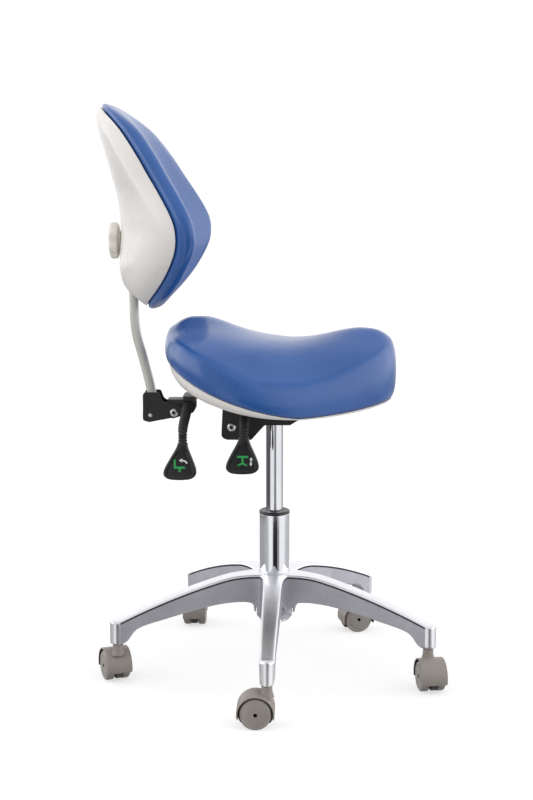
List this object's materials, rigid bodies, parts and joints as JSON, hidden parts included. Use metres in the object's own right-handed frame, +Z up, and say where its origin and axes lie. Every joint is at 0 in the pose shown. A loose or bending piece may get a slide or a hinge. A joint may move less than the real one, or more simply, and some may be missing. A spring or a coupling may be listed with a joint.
{
  "type": "dentist stool",
  "caption": "Wheeled dentist's stool: saddle seat on a gas lift with swivel, star base on castors, wrap-round backrest on a tilting arm, and hand levers under the seat.",
  "frame": {"origin": "on the floor, at the centre of the stool's footprint box", "axes": "+X is the way the sitter faces, +Y is the sitter's left, +Z is up"},
  "size_m": [0.5758, 0.5535, 0.939],
  "materials": {
    "cast_aluminium": "cast and tumbled, bright satin",
    "chrome": "polished chrome plate",
    "zinc_steel": "zinc-plated steel",
    "castor_grey": "warm grey moulded nylon",
    "castor_tread": "warm grey polyurethane",
    "black_steel": "black powder coat on pressed steel",
    "black_plastic": "black moulded plastic, fine satin",
    "black_rubber": "black ribbed rubber",
    "ivory_plastic": "ivory moulded plastic, light gloss",
    "ivory_paint": "ivory powder coat on steel tube",
    "beige_plastic": "beige-grey moulded plastic",
    "blue_leather": "smooth glossy blue upholstery leather over foam",
    "plywood": "bare birch plywood"
  },
  "bodies": {
    "base": {"star_base": "cast_aluminium", "castor_stem_1": "zinc_steel", "castor_stem_2": "zinc_steel", "castor_stem_3": "zinc_steel", "castor_stem_4": "zinc_steel", "castor_stem_5": "zinc_steel", "lift_outer_tube": "chrome", "lift_guide_bush": "black_plastic"},
    "castor_1": {"castor_hood_1": "castor_grey", "castor_axle_1": "zinc_steel"},
    "castor_1_left_wheel": {"castor_wheel_1_left": "castor_tread"},
    "castor_1_right_wheel": {"castor_wheel_1_right": "castor_tread"},
    "castor_2": {"castor_hood_2": "castor_grey", "castor_axle_2": "zinc_steel"},
    "castor_2_left_wheel": {"castor_wheel_2_left": "castor_tread"},
    "castor_2_right_wheel": {"castor_wheel_2_right": "castor_tread"},
    "castor_3": {"castor_hood_3": "castor_grey", "castor_axle_3": "zinc_steel"},
    "castor_3_left_wheel": {"castor_wheel_3_left": "castor_tread"},
    "castor_3_right_wheel": {"castor_wheel_3_right": "castor_tread"},
    "castor_4": {"castor_hood_4": "castor_grey", "castor_axle_4": "zinc_steel"},
    "castor_4_left_wheel": {"castor_wheel_4_left": "castor_tread"},
    "castor_4_right_wheel": {"castor_wheel_4_right": "castor_tread"},
    "castor_5": {"castor_hood_5": "castor_grey", "castor_axle_5": "zinc_steel"},
    "castor_5_left_wheel": {"castor_wheel_5_left": "castor_tread"},
    "castor_5_right_wheel": {"castor_wheel_5_right": "castor_tread"},
    "lift_rod": {"lift_piston_rod": "zinc_steel", "lift_thrust_bearing": "zinc_steel", "lift_retaining_clip": "zinc_steel"},
    "seat": {"lift_cylinder": "chrome", "mechanism_housing": "black_steel", "lift_socket": "zinc_steel", "seat_plate": "black_steel", "mechanism_bolt": "zinc_steel", "seat_board": "plywood", "seat_cushion": "blue_leather", "seat_pan": "ivory_plastic", "seat_screw_1": "zinc_steel", "seat_screw_2": "zinc_steel", "seat_screw_3": "zinc_steel", "seat_screw_4": "zinc_steel", "back_mount": "black_steel", "back_pivot_bolt": "zinc_steel"},
    "height_lever": {"height_lever_rod": "zinc_steel", "height_lever_sleeve": "black_rubber", "height_lever_paddle": "black_plastic"},
    "release_pin": {"lift_release_pin": "zinc_steel"},
    "back_lever": {"back_lever_rod": "zinc_steel", "back_lever_sleeve": "black_rubber", "back_lever_paddle": "black_plastic"},
    "back_support": {"back_bracket": "black_steel", "back_arm": "ivory_paint"},
    "backrest": {"arm_slider": "zinc_steel", "backrest_board": "plywood", "backrest_shell": "ivory_plastic", "backrest_cushion": "blue_leather"},
    "knob": {"backrest_knob": "beige_plastic", "knob_stud": "zinc_steel"}
  },
  "joints": [
    {"name": "castor_swivel_1", "type": "hinge", "parent": "base", "child": "castor_1", "pos_m": [0.00081, -0.25574, 0.05], "axis": [0, 0, 1], "continuous": true},
    {"name": "castor_1_left_roll", "type": "hinge", "parent": "castor_1", "child": "castor_1_left_wheel", "pos_m": [-0.01619, -0.26924, 0.0245], "axis": [0, -1, 0], "continuous": true},
    {"name": "castor_1_right_roll", "type": "hinge", "parent": "castor_1", "child": "castor_1_right_wheel", "pos_m": [-0.01619, -0.24224, 0.0245], "axis": [0, -1, 0], "continuous": true},
    {"name": "castor_swivel_2", "type": "hinge", "parent": "base", "child": "castor_2", "pos_m": [0.2586, -0.07564, 0.05], "axis": [0, 0, 1], "continuous": true},
    {"name": "castor_2_left_roll", "type": "hinge", "parent": "castor_2", "child": "castor_2_left_wheel", "pos_m": [0.27509, -0.08976, 0.0245], "axis": [0.9816, 0.1908, 0], "continuous": true},
    {"name": "castor_2_right_roll", "type": "hinge", "parent": "castor_2", "child": "castor_2_right_wheel", "pos_m": [0.24859, -0.09491, 0.0245], "axis": [0.9816, 0.1908, 0], "continuous": true},
    {"name": "castor_swivel_3", "type": "hinge", "parent": "base", "child": "castor_3", "pos_m": [0.16697, 0.22518, 0.05], "axis": [0, 0, 1], "continuous": true},
    {"name": "castor_3_left_roll", "type": "hinge", "parent": "castor_3", "child": "castor_3_left_wheel", "pos_m": [0.15404, 0.20774, 0.0245], "axis": [0.2588, -0.9659, 0], "continuous": true},
    {"name": "castor_3_right_roll", "type": "hinge", "parent": "castor_3", "child": "castor_3_right_wheel", "pos_m": [0.14705, 0.23382, 0.0245], "axis": [0.2588, -0.9659, 0], "continuous": true},
    {"name": "castor_swivel_4", "type": "hinge", "parent": "base", "child": "castor_4", "pos_m": [-0.14744, 0.23099, 0.05], "axis": [0, 0, 1], "continuous": true},
    {"name": "castor_4_left_roll", "type": "hinge", "parent": "castor_4", "child": "castor_4_left_wheel", "pos_m": [-0.16094, 0.24799, 0.0245], "axis": [-1, 0, 0], "continuous": true},
    {"name": "castor_4_right_roll", "type": "hinge", "parent": "castor_4", "child": "castor_4_right_wheel", "pos_m": [-0.13394, 0.24799, 0.0245], "axis": [-1, 0, 0], "continuous": true},
    {"name": "castor_swivel_5", "type": "hinge", "parent": "base", "child": "castor_5", "pos_m": [-0.25013, -0.06623, 0.05], "axis": [0, 0, 1], "continuous": true},
    {"name": "castor_5_left_roll", "type": "hinge", "parent": "castor_5", "child": "castor_5_left_wheel", "pos_m": [-0.26938, -0.05619, 0.0245], "axis": [-0.9135, -0.4067, 0], "continuous": true},
    {"name": "castor_5_right_roll", "type": "hinge", "parent": "castor_5", "child": "castor_5_right_wheel", "pos_m": [-0.24471, -0.04521, 0.0245], "axis": [-0.9135, -0.4067, 0], "continuous": true},
    {"name": "seat_swivel", "type": "hinge", "parent": "base", "child": "lift_rod", "pos_m": [0.00576, 0.01171, 0.09], "axis": [0, 0, 1], "continuous": true},
    {"name": "seat_height", "type": "slide", "parent": "lift_rod", "child": "seat", "axis": [0, 0, 1], "range_m": [-0.12, 0]},
    {"name": "height_lever_lift", "type": "hinge", "parent": "seat", "child": "height_lever", "pos_m": [-0.04024, -0.03179, 0.4555], "axis": [-1, 0, 0], "range_deg": [0, 5], "stiffness_Nm_per_rad": 1.5, "springref_deg": -5.73},
    {"name": "release_pin_press", "type": "slide", "parent": "seat", "child": "release_pin", "axis": [0, 0, 1], "range_m": [-0.004, 0]},
    {"name": "back_lever_lift", "type": "hinge", "parent": "seat", "child": "back_lever", "pos_m": [-0.13724, -0.00979, 0.452], "axis": [-1, 0, 0], "range_deg": [0, 8], "stiffness_Nm_per_rad": 1.5, "springref_deg": -5.73},
    {"name": "backrest_tilt", "type": "hinge", "parent": "seat", "child": "back_support", "pos_m": [-0.15924, 0.01171, 0.441], "axis": [0, 1, 0], "range_deg": [-15, 5]},
    {"name": "backrest_height", "type": "slide", "parent": "back_support", "child": "backrest", "axis": [-0.028, 0, 0.9996], "range_m": [-0.01, 0.05]},
    {"name": "knob_turn", "type": "hinge", "parent": "backrest", "child": "knob", "pos_m": [-0.24824, 0.01171, 0.722], "axis": [-1, 0, 0], "range_deg": [0, 360]}
  ],
  "couplings": [
    {"joint": "release_pin_press", "follows": "height_lever_lift", "m_per_rad": -0.0435}
  ]
}
